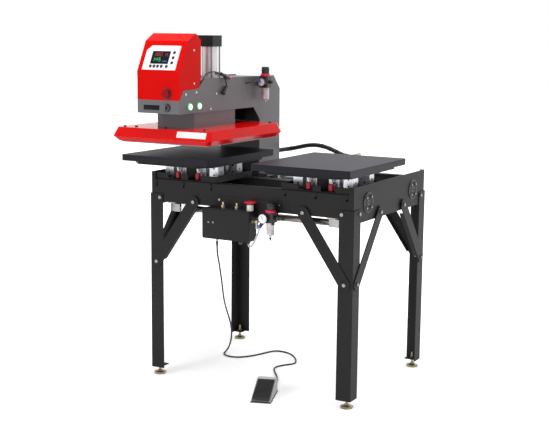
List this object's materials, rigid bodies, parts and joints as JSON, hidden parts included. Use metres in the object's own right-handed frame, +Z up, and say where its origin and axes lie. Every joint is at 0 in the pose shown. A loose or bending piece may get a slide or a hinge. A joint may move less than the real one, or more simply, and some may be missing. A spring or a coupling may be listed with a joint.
{
  "type": "heat press",
  "caption": "Dual station pneumatic heat press: steel stand with twin lower platens, sliding head with a red heated platen cover, and a foot pedal.",
  "frame": {"origin": "middle of the whole press's footprint, on the floor under the levelling feet", "axes": "+X along the stand towards the right-hand station, +Y from the operator's side to the back, +Z up"},
  "size_m": [1.01, 0.869, 1.378],
  "materials": {
    "stand_paint": "satin",
    "head_paint": "satin metallic",
    "red_paint": "gloss",
    "cover_red": "gloss",
    "zinc": "zinc plated",
    "shaft_steel": "ground",
    "aluminium": "satin",
    "cylinder_aluminium": "anodised",
    "dark_platen": "black anodised",
    "heated_aluminium": "coated",
    "pad_rubber": "matt",
    "brass": "nickel and brass",
    "black_plastic": "matt",
    "white_plastic": "matt",
    "red_plastic": "gloss",
    "grip_red": "dipped",
    "bowl_plastic": "smoked",
    "button_white": "lit",
    "panel_film": "satin film",
    "pedal_grey": "matt",
    "hose_rubber": "satin",
    "cable_pvc": "satin"
  },
  "bodies": {
    "stand": {"leg_front_left": "stand_paint", "leg_front_right": "stand_paint", "leg_back_left": "stand_paint", "leg_back_right": "stand_paint", "front_beam": "stand_paint", "back_beam": "stand_paint", "mid_beam": "stand_paint", "side_plate_left": "stand_paint", "side_plate_right": "stand_paint", "braces": "stand_paint", "frame_bolts": "zinc", "levelling_feet": "zinc", "guide_shafts": "shaft_steel", "shaft_flanges": "stand_paint", "drive_tube": "cylinder_aluminium", "drive_ends": "aluminium", "station_tray_left": "stand_paint", "station_tray_right": "stand_paint", "support_blocks_left": "aluminium", "support_blocks_right": "aluminium", "lower_platen_left": "dark_platen", "lower_platen_right": "dark_platen", "pad_left": "pad_rubber", "pad_right": "pad_rubber", "control_box": "stand_paint", "box_hanger": "stand_paint", "fittings": "brass", "valve_base": "white_plastic", "inlet_regulator": "black_plastic", "inlet_bowl": "bowl_plastic", "pedal_base": "pedal_grey", "pedal_cable": "cable_pvc", "air_hose": "hose_rubber"},
    "shuttle": {"carriage_plate": "stand_paint", "carriage_runners": "aluminium", "head_frame": "head_paint", "head_side_left": "head_paint", "head_side_right": "head_paint", "control_housing": "red_paint", "display_panel": "panel_film", "press_cylinder": "cylinder_aluminium", "cylinder_cap": "black_plastic", "head_regulator": "black_plastic", "head_bowl": "bowl_plastic"},
    "ram": {"ram_rod": "shaft_steel", "riser": "head_paint", "heat_cover": "cover_red", "heated_platen": "heated_aluminium"},
    "lever_left_outer": {"lock_lever_left_outer": "grip_red"},
    "lever_left_inner": {"lock_lever_left_inner": "grip_red"},
    "lever_right_outer": {"lock_lever_right_outer": "grip_red"},
    "lever_right_inner": {"lock_lever_right_inner": "grip_red"},
    "valve_button_body": {"valve_button": "red_plastic"},
    "stop_button_body": {"stop_button": "red_plastic"},
    "start_button_1_body": {"start_button_1": "button_white"},
    "start_button_2_body": {"start_button_2": "button_white"},
    "key_switch_body": {"key_switch": "zinc"},
    "head_knob_body": {"head_knob": "black_plastic"},
    "inlet_knob_body": {"inlet_knob": "black_plastic"},
    "pedal_treadle_body": {"pedal_treadle": "black_plastic"}
  },
  "joints": [
    {"name": "shuttle_slide", "type": "slide", "parent": "stand", "child": "shuttle", "axis": [1, 0, 0], "range_m": [0, 0.584]},
    {"name": "press_slide", "type": "slide", "parent": "shuttle", "child": "ram", "axis": [0, 0, -1], "range_m": [0, 0.0497]},
    {"name": "lever_left_outer_hinge", "type": "hinge", "parent": "stand", "child": "lever_left_outer", "pos_m": [-0.3255, -0.1865, 0.85], "axis": [-1, 0, 0], "range_deg": [0, 35]},
    {"name": "lever_left_inner_hinge", "type": "hinge", "parent": "stand", "child": "lever_left_inner", "pos_m": [-0.2325, -0.1865, 0.85], "axis": [-1, 0, 0], "range_deg": [0, 35]},
    {"name": "lever_right_outer_hinge", "type": "hinge", "parent": "stand", "child": "lever_right_outer", "pos_m": [0.3515, -0.1865, 0.85], "axis": [-1, 0, 0], "range_deg": [0, 35]},
    {"name": "lever_right_inner_hinge", "type": "hinge", "parent": "stand", "child": "lever_right_inner", "pos_m": [0.2585, -0.1865, 0.85], "axis": [-1, 0, 0], "range_deg": [0, 35]},
    {"name": "valve_push", "type": "slide", "parent": "stand", "child": "valve_button_body", "axis": [0, 0, -1], "range_m": [0, 0.0025], "stiffness_N_per_m": 3000},
    {"name": "stop_push", "type": "slide", "parent": "shuttle", "child": "stop_button_body", "axis": [0, 1, 0], "range_m": [0, 0.0022], "stiffness_N_per_m": 1500},
    {"name": "start_push_1", "type": "slide", "parent": "shuttle", "child": "start_button_1_body", "axis": [-1, 0, 0], "range_m": [0, 0.0025], "stiffness_N_per_m": 600},
    {"name": "start_push_2", "type": "slide", "parent": "shuttle", "child": "start_button_2_body", "axis": [-1, 0, 0], "range_m": [0, 0.0025], "stiffness_N_per_m": 600},
    {"name": "key_turn", "type": "hinge", "parent": "shuttle", "child": "key_switch_body", "pos_m": [-0.239, -0.4195, 1.103], "axis": [0, 1, 0], "range_deg": [0, 90]},
    {"name": "head_knob_turn", "type": "hinge", "parent": "shuttle", "child": "head_knob_body", "pos_m": [-0.152, 0.1635, 1.23], "axis": [0, 0, 1], "range_deg": [-360, 360]},
    {"name": "inlet_knob_turn", "type": "hinge", "parent": "stand", "child": "inlet_knob_body", "pos_m": [0.131, -0.2795, 0.745], "axis": [0, 0, 1], "range_deg": [-360, 360]},
    {"name": "treadle_hinge", "type": "hinge", "parent": "stand", "child": "pedal_treadle_body", "pos_m": [0.09562, -0.23834, 0.05], "axis": [0.9432, 0.3322, 0], "range_deg": [0, 3], "stiffness_Nm_per_rad": 20}
  ]
}
